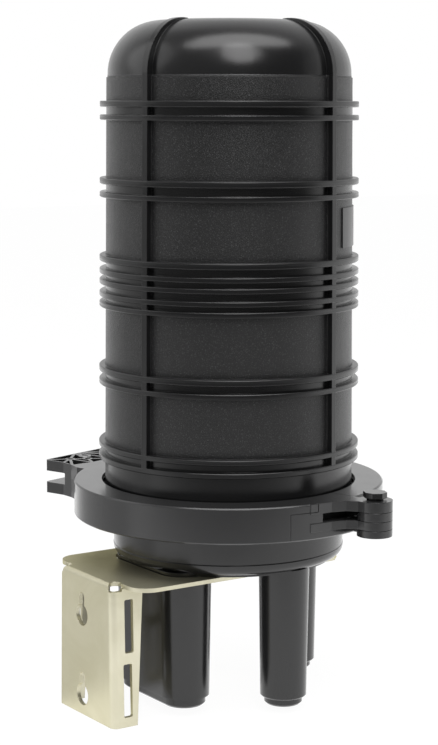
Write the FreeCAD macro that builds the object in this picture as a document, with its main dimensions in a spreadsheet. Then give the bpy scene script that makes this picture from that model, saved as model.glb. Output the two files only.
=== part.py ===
import FreeCAD
import Part
import Sketcher
import math
import os
from FreeCAD import Vector

# Dome splice closure
# Up is +Z. The wall plate of the mounting bracket faces +Y and its outer face
# holds the origin. The axis of the closure stands wall_to_axis in front of it.

doc = FreeCAD.newDocument("dome_splice_closure")
sheet = doc.addObject("Spreadsheet::Sheet", "Sizes")
# Driving dimensions in millimetres and degrees

numbers = {
    "wall_to_axis": 124.4,        # wall plate face to closure axis
    "ring_height": 87.0,          # height of the clamp underside above the origin
    "dome_radius": 91.9,          # dome outside radius at the clamp
    "dome_top_radius": 89.2,      # dome outside radius under the crown
    "dome_height": 360.5,         # clamp underside to crown
    "crown_radius": 38.0,         # rounding of the crown
    "crown_step": 40.2,           # moulding step below the top of the dome
    "crown_inset": 0.9,           # how far the crown stands inside the wall at the step
    "dome_wall": 3.0,             # dome wall
    "rib_reach": 4.6,             # how far the ribs stand out
    "crown_rib_reach": 0.5,       # height of the upright ribs on top of the crown
    "rib_width": 4.8,             # width of the upright ribs
    "hoop_height": 3.8,           # height of one hoop rib
    "rib_turn": 17.0,             # azimuth of the upright ribs and of the clamp
    "flange_radius": 104.0,       # outer radius of the clamped flanges
    "flange_plane": 12.8,         # joint plane between dome and base
    "flange_edge": 4.8,           # flange thickness at its rim
    "flange_root": 8.4,           # flange thickness at its root
    "seal_section": 2.0,          # seal ring section radius
    "seal_radius": 93.5,          # seal ring centre line radius
    "base_radius": 86.2,          # base skirt radius
    "base_depth": 32.0,           # base skirt below the clamp underside
    "base_round": 7.0,            # rounding under the base skirt
    "base_collar": 1.8,           # height of the collar under the base
    "base_wall": 3.5,             # base wall and floor
    "port_circle": 65.0,          # round port centres from the axis
    "port_radius": 18.4,          # round port radius at the base
    "port_end_radius": 16.9,      # round port radius at its end
    "port_step_radius": 13.9,     # closed tip radius of a round port
    "port_drop": 126.4,           # port end below the clamp underside
    "port_tip": 5.5,              # length of the closed tip
    "port_wall": 2.6,             # port wall
    "port_turn": 91.0,            # angle between neighbouring round ports
    "port_start": 184.0,          # azimuth of the first round port
    "oval_radius": 20.0,          # end radius of the oval port
    "oval_half": 27.0,            # half distance of the oval end centres
    "oval_offset": 58.7,          # oval port centre from the axis
    "oval_side": -2.2,            # oval port beside the middle
    "oval_drop": 123.6,           # oval port end below the clamp underside
    "oval_tip": 7.0,              # length of the closed tip of the oval port
    "clamp_radius": 114.9,        # clamp outside radius
    "clamp_height": 25.6,         # clamp height
    "clamp_hole": 94.4,           # clamp hole radius over the dome
    "clamp_lip": 4.0,             # clamp lip thickness at the hole
    "split_gap": 0.5,             # gap between the clamp halves
    "pin_stand": 17.1,            # hinge pin beyond the clamp ring
    "knuckle_radius": 12.6,       # hinge knuckle radius
    "knuckle_low": 5.3,           # height of the lowest hinge knuckle
    "knuckle_pitch": 6.4,         # height of the two middle hinge knuckles
    "window_end": 32.2,           # how far the hinge windows reach from the split
    "window_depth": 7.6,          # depth of the hinge windows in the clamp ring
    "parting_level": 19.7,        # level of the mould insert line on the front half
    "parting_start": 150.5,       # azimuth of the lower insert line
    "parting_turn": 10.9,         # azimuth from the lower to the upper insert line
    "pin_radius": 4.0,            # hinge pin radius
    "pin_play": 0.06,             # running clearance of pins
    "lug_length": 38.1,           # latch lug face beyond the clamp ring
    "lug_half": 38.0,             # latch lug half width
    "lug_plate": 8.3,             # upper and lower lug plate
    "latch_pin_radius": 2.5,      # latch pin radius
    "pivot_side": 6.0,            # latch pivot beside the split
    "catch_side": 32.0,           # latch catch pin beside the split
    "latch_stand": 25.1,          # latch pins beyond the clamp ring
    "sheet": 3.0,                 # bracket sheet thickness
    "plate_half": 59.3,           # bracket top plate half width
    "plate_narrow": 6.0,          # how much narrower the top plate is at its far end, each side
    "plate_end": 66.0,            # bracket top plate beyond the axis
    "wall_half": 36.5,            # bracket wall plate half width
    "wall_splay": 2.5,            # how much wider the wall plate is at its foot
    "drop": 136.6,                # bracket foot below the clamp underside
    "bend_radius": 2.0,           # inner radius of the bracket bends
    "fold_radius": 0.8,           # inner radius of the fold between the bracket plates
    "relief_radius": 4.6,         # round corner reliefs of the bracket blank
    "side_taper": 6.0,            # how much shallower the side flanges are at the foot
    "side_depth": 26.0,           # depth of the bracket side flanges
    "keyhole_radius": 8.0,        # keyhole circle radius
    "keyhole_neck": 3.5,          # keyhole neck half width
    "keyhole_pitch": 59.0,        # keyhole spacing
    "keyhole_side": 4.5,          # keyhole column beside the middle of the wall plate
    "keyhole_top": 62.7,          # upper keyhole below the clamp underside
    "post_side": 30.0,            # screw posts beside the middle
    "post_front": 26.0,           # front screw posts from the axis
    "post_back": 12.0,            # rear screw posts from the axis
    "post_top": 14.0,             # top of the screw posts above the clamp underside
    "screw_radius": 2.5,          # bracket screw radius
    "small_screw_radius": 2.0,    # tray frame screw radius
    "tray_width": 116.0,          # splice tray width
    "tray_length": 218.0,         # splice tray length
    "tray_depth": 11.0,           # splice tray depth
    "tray_pitch": 15.0,           # distance between trays
    "tray_wall": 1.8,             # splice tray wall
    "tray_back": 50.0,            # back of the first tray from the axis
    "tray_foot": 34.0,            # tray bottom above the clamp underside
    "stub_radius": 2.0,           # tray hinge stub radius
    "ear_side": 49.3,             # inner face of the tray hinge ears
    "frame_sheet": 2.0,           # tray frame sheet thickness
}
for row, (alias, value) in enumerate(numbers.items(), 1):
    sheet.set("A%d" % row, alias.replace("_", " "))
    sheet.set("B%d" % row, str(value))
    sheet.setAlias("B%d" % row, alias)


class Dim:
    """A number together with the sheet expression it comes from."""

    def __init__(self, value, text):
        self.value = float(value)
        self.text = text

    def __add__(self, other):
        other = dim(other)
        return Dim(self.value + other.value, "(%s + %s)" % (self.text, other.text))

    def __radd__(self, other):
        return dim(other) + self

    def __sub__(self, other):
        other = dim(other)
        return Dim(self.value - other.value, "(%s - %s)" % (self.text, other.text))

    def __rsub__(self, other):
        return dim(other) - self

    def __mul__(self, other):
        other = dim(other)
        return Dim(self.value * other.value, "(%s * %s)" % (self.text, other.text))

    def __rmul__(self, other):
        return dim(other) * self

    def __truediv__(self, other):
        other = dim(other)
        return Dim(self.value / other.value, "(%s / %s)" % (self.text, other.text))

    def __neg__(self):
        return Dim(-self.value, "(0 - %s)" % self.text)

    def __float__(self):
        return self.value


def dim(thing):
    """A plain number or a sheet value as a Dim."""
    if isinstance(thing, Dim):
        return thing
    return Dim(thing, repr(float(thing)))


def s(alias):
    """The driving dimension of that name."""
    return Dim(numbers[alias], "Sizes." + alias)


def cosine(angle):
    angle = dim(angle)
    return Dim(math.cos(math.radians(angle.value)), "cos(%s * 1 deg)" % angle.text)


def sine(angle):
    angle = dim(angle)
    return Dim(math.sin(math.radians(angle.value)), "sin(%s * 1 deg)" % angle.text)


def bind(thing, prop, value):
    """Set a property, and tie it to the sheet when the value comes from there."""
    value = dim(value)
    setattr(thing, prop, value.value)
    if "Sizes." in value.text:
        thing.setExpression(prop, value.text)


def new_body(label):
    body = doc.addObject("PartDesign::Body", label)
    body.Label = label
    return body


def origin_part(body, role):
    """The body's own origin plane or axis with that role."""
    return [part for part in body.Origin.OriginFeatures if part.Role == role][0]


def sketch_on(body, name, role, height=0.0, side=0.0, turn=0.0):
    """An empty sketch on one of the body's origin planes, lifted by height, moved
    sideways in its own plane by side and turned about its own upright axis."""
    sketch = body.newObject("Sketcher::SketchObject", name)
    sketch.AttachmentSupport = [(origin_part(body, role), "")]
    sketch.MapMode = "FlatFace"
    height = dim(height)
    side = dim(side)
    turn = dim(turn)
    sketch.AttachmentOffset = FreeCAD.Placement(Vector(side.value, 0, height.value),
                                                FreeCAD.Rotation(Vector(0, 1, 0), turn.value))
    if "Sizes." in height.text:
        sketch.setExpression(".AttachmentOffset.Base.z", height.text)
    if "Sizes." in side.text:
        sketch.setExpression(".AttachmentOffset.Base.x", side.text)
    if "Sizes." in turn.text:
        sketch.setExpression(".AttachmentOffset.Rotation.Angle", turn.text)
    return sketch


def fix_axis(sketch, geo, pos, kind, value):
    """Hold one sketch point at a distance from one of the sketch axes."""
    value = dim(value)
    if abs(value.value) < 1e-9:
        axis = -2 if kind == "DistanceX" else -1
        sketch.addConstraint(Sketcher.Constraint("PointOnObject", geo, pos, axis))
        return
    number = sketch.addConstraint(Sketcher.Constraint(kind, -1, 1, geo, pos, value.value))
    if "Sizes." in value.text:
        sketch.setExpression("Constraints[%d]" % number, value.text)


def fix_point(sketch, geo, pos, x, y):
    """Place one sketch point by its two distances from the origin."""
    fix_axis(sketch, geo, pos, "DistanceX", x)
    fix_axis(sketch, geo, pos, "DistanceY", y)


def add_loop(sketch, corners):
    """A closed outline. A corner is (x, y) or (x, y, radius, side): with a radius
    the edge to the next corner is an arc that bulges to the left (side 1) or to
    the right (side -1) of the way walked."""
    count = len(corners)
    ends = []
    centres = []
    for index, corner in enumerate(corners):
        follow = corners[(index + 1) % count]
        start = Vector(float(dim(corner[0])), float(dim(corner[1])), 0)
        stop = Vector(float(dim(follow[0])), float(dim(follow[1])), 0)
        if len(corner) == 2:
            geo = sketch.addGeometry(Part.LineSegment(start, stop), False)
            ends.append((geo, 1, 2))
            continue
        radius = dim(corner[2])
        chord = stop - start
        half = chord.Length / 2.0
        rise = math.sqrt(max(radius.value ** 2 - half ** 2, 0.0))
        left = Vector(-chord.y, chord.x, 0).normalize()
        middle = (start + stop) * 0.5 - left * rise * corner[3]
        a = math.atan2(start.y - middle.y, start.x - middle.x)
        b = math.atan2(stop.y - middle.y, stop.x - middle.x)
        circle = Part.Circle(middle, Vector(0, 0, 1), radius.value)
        if corner[3] > 0:
            geo = sketch.addGeometry(Part.ArcOfCircle(circle, b, a if a > b else a + 2 * math.pi), False)
            ends.append((geo, 2, 1))
        else:
            geo = sketch.addGeometry(Part.ArcOfCircle(circle, a, b if b > a else b + 2 * math.pi), False)
            ends.append((geo, 1, 2))
        if rise < 1e-6:
            upright = abs(chord.x) < abs(chord.y)
            centres.append((geo, "DistanceX" if upright else "DistanceY", corner[0] if upright else corner[1]))
            continue
        number = sketch.addConstraint(Sketcher.Constraint("Radius", geo, radius.value))
        if "Sizes." in radius.text:
            sketch.setExpression("Constraints[%d]" % number, radius.text)
    for index in range(count):
        here = ends[index]
        after = ends[(index + 1) % count]
        sketch.addConstraint(Sketcher.Constraint("Coincident", here[0], here[2], after[0], after[1]))
    for index, corner in enumerate(corners):
        fix_point(sketch, ends[index][0], ends[index][1], corner[0], corner[1])
    for geo, kind, value in centres:
        fix_axis(sketch, geo, 3, kind, value)


def add_circle(sketch, x, y, radius):
    x = dim(x)
    y = dim(y)
    radius = dim(radius)
    circle = Part.Circle(Vector(x.value, y.value, 0), Vector(0, 0, 1), radius.value)
    geo = sketch.addGeometry(circle, False)
    number = sketch.addConstraint(Sketcher.Constraint("Radius", geo, radius.value))
    if "Sizes." in radius.text:
        sketch.setExpression("Constraints[%d]" % number, radius.text)
    fix_point(sketch, geo, 3, x, y)


def add_slot(sketch, x0, x1, y, radius, upright=False):
    """A slot with round ends between two centres on a row or on a column."""
    x0, x1, y, radius = dim(x0), dim(x1), dim(y), dim(radius)
    if upright:
        add_loop(sketch, [(y - radius, x0), (y - radius, x1, radius, 1),
                          (y + radius, x1), (y + radius, x0, radius, 1)])
    else:
        add_loop(sketch, [(x0, y + radius), (x1, y + radius, radius, 1),
                          (x1, y - radius), (x0, y - radius, radius, 1)])


def revolve(body, name, sketch, angle=360.0, cut=False, backward=False):
    kind = "PartDesign::Groove" if cut else "PartDesign::Revolution"
    feature = body.newObject(kind, name)
    feature.Profile = sketch
    feature.ReferenceAxis = (sketch, ["V_Axis"])
    feature.Angle = angle
    feature.Reversed = backward
    sketch.Visibility = False
    return feature


def pad(body, name, sketch, length, backward=False):
    feature = body.newObject("PartDesign::Pad", name)
    feature.Profile = sketch
    bind(feature, "Length", length)
    feature.Reversed = backward
    sketch.Visibility = False
    return feature


def pocket(body, name, sketch, length, backward=False):
    feature = body.newObject("PartDesign::Pocket", name)
    feature.Profile = sketch
    bind(feature, "Length", length)
    feature.Reversed = backward
    sketch.Visibility = False
    return feature


def polar(body, name, features, count, angle=360.0):
    """Repeat features around the upright axis of the body."""
    pattern = body.newObject("PartDesign::PolarPattern", name)
    pattern.Originals = features
    pattern.Axis = (origin_part(body, "Z_Axis"), [""])
    pattern.Angle = angle
    pattern.Occurrences = count
    body.Tip = pattern
    return pattern


def mirror(body, name, feature, role):
    """Repeat a feature on the other side of one of the body's origin planes."""
    copy = body.newObject("PartDesign::Mirrored", name)
    copy.Originals = [feature]
    copy.MirrorPlane = (origin_part(body, role), [""])
    body.Tip = copy
    return copy


def on_axis(body, turn=0.0):
    """Stand a sub-part on the closure axis, turned by turn degrees."""
    turn = dim(turn)
    body.Placement = FreeCAD.Placement(Vector(0, -numbers["wall_to_axis"], numbers["ring_height"]),
                                       FreeCAD.Rotation(Vector(0, 0, 1), turn.value))
    body.setExpression(".Placement.Base.y", "0 - Sizes.wall_to_axis")
    body.setExpression(".Placement.Base.z", "Sizes.ring_height")
    if "Sizes." in turn.text:
        body.setExpression(".Placement.Rotation.Angle", turn.text)


# Dome: one moulding with a crown, hoop ribs, upright ribs and a blank raised pad

HOOPS = (301.1, 291.6, 246.1, 236.3, 190.2, 180.8, 173.2, 164.2, 156.7, 109.4, 99.8, 53.5, 44.2)
TALL_HOOPS = (0, 2, 4, 9)


def dome_wall_at(z):
    """Outside radius of the dome at a height, following the mould draft."""
    share = (z - s("flange_plane")) / (s("dome_height") - s("crown_step") - s("flange_plane"))
    return s("dome_radius") - (s("dome_radius") - s("dome_top_radius")) * share


def make_dome():
    body = new_body("dome")
    plane = s("flange_plane")
    crown = s("dome_height")
    curve = s("crown_radius")
    shoulder = crown - curve
    step = crown - s("crown_step")
    top = s("dome_top_radius")
    lip = top - s("crown_inset")
    wall = s("dome_wall")
    rim = s("flange_radius")
    profile = sketch_on(body, "dome_profile", "XZ_Plane")
    add_loop(profile, [
        (0, crown),
        (lip - curve, crown, curve, 1),
        (lip, shoulder),
        (lip + 0.1, step),
        (top, step - 0.25),
        (dome_wall_at(plane + s("flange_root")), plane + s("flange_root")),
        (rim - 0.6, plane + s("flange_edge")),
        (rim, plane + s("flange_edge") - 0.6),
        (rim, plane),
        (dome_wall_at(plane) - wall, plane),
        (lip - wall, shoulder, curve - wall, -1),
        (lip - curve, crown - wall),
        (0, crown - wall),
    ])
    revolve(body, "dome_wall", profile)
    hoops = sketch_on(body, "hoop_profile", "XZ_Plane")
    for index, z in enumerate(HOOPS):
        half = s("hoop_height") / 2 + (0.3 if index in TALL_HOOPS else 0.0)
        inner = dome_wall_at(z) - 0.8
        outer = dome_wall_at(z) + s("rib_reach")
        add_loop(hoops, [(inner, z + half), (outer - 0.5, z + half), (outer, z + half - 0.5),
                         (outer, z - half + 0.5), (outer - 0.5, z - half), (inner, z - half)])
    revolve(body, "hoop_ribs", hoops)
    upright = sketch_on(body, "upright_profile", "XZ_Plane", -s("rib_width") / 2)
    low = HOOPS[-1]
    out = dome_wall_at(shoulder) + s("rib_reach") - 0.2
    across = out - lip + curve
    climb = curve + s("crown_rib_reach")
    sweep = (across * across + climb * climb) / (across * 2)
    add_loop(upright, [
        (dome_wall_at(low) - 0.8, low),
        (dome_wall_at(low) + s("rib_reach") - 0.2, low),
        (out, shoulder, sweep, -1),
        (lip - curve, crown + s("crown_rib_reach")),
        (lip - curve - 3, crown - 0.8),
        (lip - curve, crown - 0.8, curve - 0.8, 1),
        (lip - 0.8, shoulder),
    ])
    rib = pad(body, "upright_rib", upright, s("rib_width"))
    polar(body, "upright_ribs", [rib], 4)
    plate = sketch_on(body, "blank_pad_profile", "XZ_Plane", turn=191.3)
    low = 199.6
    high = 228.2
    add_loop(plate, [(dome_wall_at(low) - 0.8, low), (dome_wall_at(low) - 0.8, high),
                     (dome_wall_at(high) + 0.9, high), (dome_wall_at(low) + 0.9, low)])
    revolve(body, "blank_pad", plate, 68.0)
    on_axis(body, s("rib_turn"))
    return body


# Base: one moulding with the lower flange, the skirt, closed cable ports and screw posts

def revolve_on_port(body, name, corners, x, y, cut=False):
    """A turned feature about an upright axis that stands at x, y."""
    sketch = sketch_on(body, name + "_profile", "XZ_Plane", -y, x)
    add_loop(sketch, corners)
    return revolve(body, name, sketch, cut=cut)


def post_places():
    """Where the four screw posts stand on the base floor."""
    side = s("post_side")
    return [(x, y) for x in (side, -side) for y in (s("post_back"), -s("post_front"))]


def stadium(sketch, half, y, radius):
    """The outline of the oval port, which stands a little beside the middle."""
    side = s("oval_side")
    add_loop(sketch, [(side + half, y - radius, radius, -1), (side + half, y + radius),
                      (side - half, y + radius, radius, -1), (side - half, y - radius)])


def loft(body, name, lower, upper, cut=False):
    kind = "PartDesign::SubtractiveLoft" if cut else "PartDesign::AdditiveLoft"
    feature = body.newObject(kind, name)
    feature.Profile = lower
    feature.Sections = [upper]
    feature.Ruled = True
    lower.Visibility = False
    upper.Visibility = False
    return feature


def make_base():
    body = new_body("base")
    plane = s("flange_plane")
    rim = s("flange_radius")
    skirt = s("base_radius")
    wall = s("base_wall")
    deep = s("base_depth")
    round_off = s("base_round")
    bottom = s("base_collar") - deep
    profile = sketch_on(body, "base_profile", "XZ_Plane")
    seal = s("seal_radius")
    groove = s("seal_section") + 0.05
    add_loop(profile, [
        (0, wall - deep),
        (skirt - wall - round_off * 0.6, wall - deep),
        (skirt - wall - 0.5, round_off + wall - deep),
        (skirt - wall, plane),
        (seal - groove, plane),
        (seal - groove, plane - s("seal_section") * 2),
        (seal + groove, plane - s("seal_section") * 2),
        (seal + groove, plane),
        (rim, plane),
        (rim, plane - s("flange_edge") + 0.6),
        (rim - 0.6, plane - s("flange_edge")),
        (skirt + 1.5, plane - s("flange_root")),
        (skirt, plane - s("flange_root") - 1.5),
        (skirt - 0.7, bottom + round_off + 1.5),
        (skirt - 0.3, bottom + round_off + 1),
        (skirt - 0.4, bottom + round_off, round_off, 1),
        (skirt - 0.4 - round_off, bottom),
        (skirt - 1.2 - round_off, bottom - 0.3),
        (skirt - 1.2 - round_off, -deep),
        (0, -deep),
    ])
    revolve(body, "base_shell", profile)
    ring = s("port_circle")
    floor = wall - deep
    for index in range(3):
        angle = s("port_start") + s("port_turn") * index
        x = ring * cosine(angle)
        y = ring * sine(angle)
        end = s("port_end_radius")
        tip = s("port_step_radius")
        drop = -s("port_drop")
        revolve_on_port(body, "round_port_%d" % (index + 1), [
            (0, floor - 1), (s("port_radius"), floor - 1), (end, drop + 1.2), (end - 1.2, drop),
            (tip, drop), (tip, drop - s("port_tip") + 1.5), (tip - 1.5, drop - s("port_tip")),
            (0, drop - s("port_tip"))], x, y)
    far = s("oval_offset")
    half = s("oval_half")
    large = s("oval_radius")
    lower = sketch_on(body, "oval_foot", "XY_Plane", -s("oval_drop"))
    stadium(lower, half, far, large - 1.6)
    upper = sketch_on(body, "oval_head", "XY_Plane", floor - 1)
    stadium(upper, half, far, large)
    loft(body, "oval_port", lower, upper)
    step = sketch_on(body, "oval_tip_outline", "XY_Plane", -s("oval_drop"))
    stadium(step, half, far, large - 4.4)
    pad(body, "oval_tip", step, s("oval_tip"), backward=True)
    trim = body.newObject("PartDesign::Chamfer", "oval_tip_edge")
    doc.recompute()
    low = numbers["oval_drop"] + numbers["oval_tip"]
    solid = body.getObject("oval_tip").Shape
    names = ["Edge%d" % (i + 1) for i, edge in enumerate(solid.Edges)
             if abs(edge.BoundBox.ZMax + low) < 0.01 and abs(edge.BoundBox.ZMin + low) < 0.01
             and edge.BoundBox.YMin > 30]
    trim.Base = (body.getObject("oval_tip"), names)
    trim.Size = 1.5
    bore_low = sketch_on(body, "oval_bore_foot", "XY_Plane", -s("oval_drop"))
    stadium(bore_low, half, far, large - 1.6 - s("port_wall") - 2.6)
    bore_high = sketch_on(body, "oval_bore_head", "XY_Plane", floor + 0.5)
    stadium(bore_high, half, far, large - s("port_wall"))
    loft(body, "oval_bore", bore_low, bore_high, cut=True)
    inner = s("port_radius") - s("port_wall")
    for index in range(3):
        angle = s("port_start") + s("port_turn") * index
        x = ring * cosine(angle)
        y = ring * sine(angle)
        small = s("port_step_radius") - s("port_wall") + 0.6
        drop = -s("port_drop")
        revolve_on_port(body, "round_bore_%d" % (index + 1), [
            (0, floor + 0.5), (0, drop - s("port_tip") + 2), (small, drop - s("port_tip") + 2),
            (small, drop + 1), (s("port_end_radius") - s("port_wall"), drop + 3),
            (inner, floor + 0.5)][::-1], x, y, cut=True)
    posts = sketch_on(body, "post_outline", "XY_Plane", floor - 0.5)
    for x, y in post_places():
        add_circle(posts, x, y, s("screw_radius") + 4)
    pad(body, "screw_posts", posts, s("post_top") - floor + 0.5)
    lower_holes = sketch_on(body, "bracket_screw_holes", "XY_Plane", -deep)
    for x, y in post_places():
        add_circle(lower_holes, x, y, s("screw_radius") + 0.02)
    pocket(body, "bracket_screw_hole", lower_holes, 17, backward=True)
    upper_holes = sketch_on(body, "frame_screw_holes", "XY_Plane", s("post_top"))
    for x, y in post_places():
        add_circle(upper_holes, x, y, s("small_screw_radius") + 0.02)
    pocket(body, "frame_screw_hole", upper_holes, 13)
    on_axis(body)
    return body


# Seal ring between the two flanges

def make_seal():
    ring = doc.addObject("Part::Torus", "seal_ring")
    ring.Label = "seal_ring"
    bind(ring, "Radius1", s("seal_radius"))
    bind(ring, "Radius2", s("seal_section"))
    ring.Placement = FreeCAD.Placement(
        Vector(0, -numbers["wall_to_axis"], numbers["ring_height"] + numbers["flange_plane"]
               - numbers["seal_section"]), FreeCAD.Rotation())
    ring.setExpression(".Placement.Base.y", "0 - Sizes.wall_to_axis")
    ring.setExpression(".Placement.Base.z", "Sizes.ring_height + Sizes.flange_plane - Sizes.seal_section")
    return ring


# Clamp: two half rings on one hinge pin, each with a ribbed latch lug

def inset(points, gap):
    """The outline of a convex pocket, moved in by gap on every side."""
    out = []
    count = len(points)
    for index in range(count):
        before = Vector(*points[index - 1], 0)
        here = Vector(*points[index], 0)
        after = Vector(*points[(index + 1) % count], 0)
        one = (here - before).normalize()
        two = (after - here).normalize()
        bend = one.cross(two).z
        shift = (two - one) * (gap / bend)
        out.append((here.x + shift.x, here.y + shift.y))
    return out


def make_clamp(label, side):
    """One half of the clamp. Side 1 is the front half, side -1 the rear half."""
    body = new_body(label)
    high = s("clamp_height")
    lip = s("clamp_lip")
    rim = s("clamp_radius")
    hole = s("clamp_hole")
    room = s("flange_radius") + 1
    slope = s("flange_root") - s("flange_edge")
    profile = sketch_on(body, "channel_profile", "XZ_Plane")
    add_loop(profile, [
        (hole, high), (hole, high - lip), (room, high - lip - slope), (room, lip + slope),
        (s("base_radius") + 2.5, lip), (s("base_radius") + 2.5, 0), (rim - 1, 0), (rim, 1),
        (rim, high - 1), (rim - 1, high)])
    revolve(body, "channel", profile, 180.0, backward=(side < 0))
    lug = sketch_on(body, "lug_outline", "XY_Plane")
    reach = rim + s("lug_length")
    stand = rim + s("latch_stand")
    half = s("lug_half")
    start = room + 3
    outline = [(start, 0), (reach, 0), (reach, half - 2), (reach - 2, half), (rim + 19, half - 0.6),
               (rim + 8, half + 2.2), (rim - 3, half + 7.5), (start - 8, half + 7.5), (start - 6, half - 8)]
    add_loop(lug, [(x, y * side) for x, y in outline][::side])
    pad(body, "lug", lug, high)
    plate = s("lug_plate")
    fork = sketch_on(body, "fork_outline", "XY_Plane", high - plate)
    add_loop(fork, [(rim + 17, -10), (reach + 5, -10), (reach + 5, half + 10), (rim + 17, half + 10)]
             if side > 0 else
             [(rim + 17, 10), (rim + 17, -half - 10), (reach + 5, -half - 10), (reach + 5, 10)])
    pocket(body, "fork_gap", fork, high - plate * 2)
    slab = sketch_on(body, "split_face", "XZ_Plane", -s("split_gap") / 2 if side > 0 else s("split_gap") / 2)
    add_loop(slab, [(-200, -20), (200, -20), (200, 60), (-200, 60)])
    pocket(body, "split", slab, 5, backward=(side > 0))
    edge = numbers["clamp_radius"]
    outer = edge + numbers["lug_length"]
    wide = numbers["lug_half"]
    tip = (outer, wide)
    hub = (outer - 13, wide - 15)
    middle = (outer, 4)
    second = (edge + 16, 13)
    root = (edge + 2, wide - 16)
    flare = (edge + 6, wide + 3)
    corner = (outer, 0.25)
    near = (edge + 2, 0.25)
    waist = (edge + 19, wide - 1.0)
    cells = [(tip, hub, middle), (tip, waist, hub), (waist, flare, hub), (flare, root, hub),
             (hub, root, second), (hub, second, middle), (middle, second, corner), (second, near, corner),
             (second, root, near)]
    top = sketch_on(body, "lattice_top", "XY_Plane", high)
    bottom = sketch_on(body, "lattice_bottom", "XY_Plane", 0)
    for cell in cells:
        twist = sum(cell[i - 1][0] * cell[i][1] - cell[i][0] * cell[i - 1][1] for i in range(3))
        walk = cell if twist > 0 else cell[::-1]
        flat = inset(walk, 1.1)
        for sketch in (top, bottom):
            add_loop(sketch, [(x, y * side) for x, y in flat][::side])
    pocket(body, "lattice_pockets_top", top, plate - 2.2)
    pocket(body, "lattice_pockets_bottom", bottom, plate - 2.2, backward=True)
    bosses = sketch_on(body, "lattice_boss_outline", "XY_Plane", 0)
    for x, y in (hub, second):
        add_circle(bosses, x, y * side, s("latch_pin_radius") + 1.6)
    pad(body, "lattice_bosses_low", bosses, plate)
    crests = sketch_on(body, "lattice_boss_top_outline", "XY_Plane", high - plate)
    for x, y in (hub, second):
        add_circle(crests, x, y * side, s("latch_pin_radius") + 1.6)
    pad(body, "lattice_bosses_high", crests, plate)
    cores = sketch_on(body, "lattice_core_outline", "XY_Plane", high)
    for x, y in (hub, second):
        add_circle(cores, x, y * side, s("latch_pin_radius") - 0.3)
    pocket(body, "lattice_cores", cores, 5)
    hubs = sketch_on(body, "pin_hubs", "XY_Plane", 0)
    spot = s("pivot_side") if side > 0 else -s("catch_side")
    add_circle(hubs, stand, spot, s("latch_pin_radius") + 2.5)
    pad(body, "hub_low", hubs, plate)
    tops = sketch_on(body, "pin_hubs_top", "XY_Plane", high - plate)
    add_circle(tops, stand, spot, s("latch_pin_radius") + 2.5)
    pad(body, "hub_high", tops, plate)
    holes = sketch_on(body, "pin_hole_outline", "XY_Plane", high)
    add_circle(holes, stand, spot, s("latch_pin_radius") + 0.02)
    pocket(body, "pin_hole", holes, high)
    pin = -(rim + s("pin_stand"))
    knuckle = s("knuckle_radius")
    first = s("knuckle_low")
    levels = (dim(0), first, first + s("knuckle_pitch"), first + s("knuckle_pitch") * 2, high)
    for index in range(4):
        if (index % 2 == 1) != (side > 0):
            continue
        low = levels[index] + (0.0 if index == 0 else 0.15)
        upper = levels[index + 1] - (0.0 if index == 3 else 0.15)
        arm = sketch_on(body, "arm_outline_%d" % index, "XY_Plane", low)
        walk = [(-rim + 4, 0.5), (pin, 0.5), (pin, knuckle), (pin + 6, knuckle * 0.98),
                (pin + 13, knuckle + 3.6), (pin + 19, knuckle + 13), (-rim + 7.5, knuckle + 30),
                (-rim + 14, knuckle + 30)]
        add_loop(arm, [(x, y * side) for x, y in walk[::-1]][::side])
        pad(body, "arm_%d" % index, arm, upper - low)
        disc = sketch_on(body, "knuckle_outline_%d" % index, "XY_Plane", low)
        add_circle(disc, pin, 0, knuckle)
        pad(body, "knuckle_%d" % index, disc, upper - low)
    window = sketch_on(body, "hinge_window_outline", "XY_Plane", levels[3 if side > 0 else 2] - 0.15)
    away = pin - knuckle - 1
    floor = -(rim - s("window_depth"))
    walk = [(away, 0.25), (floor, 0.25), (floor + 2.6, s("window_end")), (away, s("window_end"))]
    add_loop(window, [(x, y * side) for x, y in walk][::side])
    pocket(body, "hinge_window", window, s("knuckle_pitch") - 0.3)
    bore = sketch_on(body, "hinge_bore_outline", "XY_Plane", high)
    add_circle(bore, pin, 0, s("pin_radius") + s("pin_play"))
    pocket(body, "hinge_bore", bore, high)
    if side > 0:
        insert_lines(body, rim, high)
    on_axis(body, s("rib_turn"))
    return body


def insert_lines(body, rim, high):
    """The fine line that a mould insert leaves on the ring: up, along and up again."""
    level = s("parting_level")
    start = s("parting_start")
    turn = s("parting_turn")
    thin = 0.24
    walks = (("low", start, -1, level + 0.2, thin), ("long", start, level - 0.2, level + 0.2, turn),
             ("high", start + turn, level - 0.2, high + 1, thin))
    for name, azimuth, low, top, sweep in walks:
        section = sketch_on(body, "insert_line_" + name, "XZ_Plane", turn=azimuth)
        add_loop(section, [(rim - 0.3, low), (rim + 1, low), (rim + 1, top), (rim - 0.3, top)])
        cut = revolve(body, "insert_groove_" + name, section, cut=True)
        bind(cut, "Angle", sweep)


def turned_pin(label, x, y, corners):
    """A pin turned about an upright axis at x, y in the clamp's own directions."""
    body = new_body(label)
    sketch = sketch_on(body, label + "_profile", "XZ_Plane", -y, x)
    add_loop(sketch, corners)
    revolve(body, label + "_turned", sketch)
    on_axis(body, s("rib_turn"))
    return body


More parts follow.
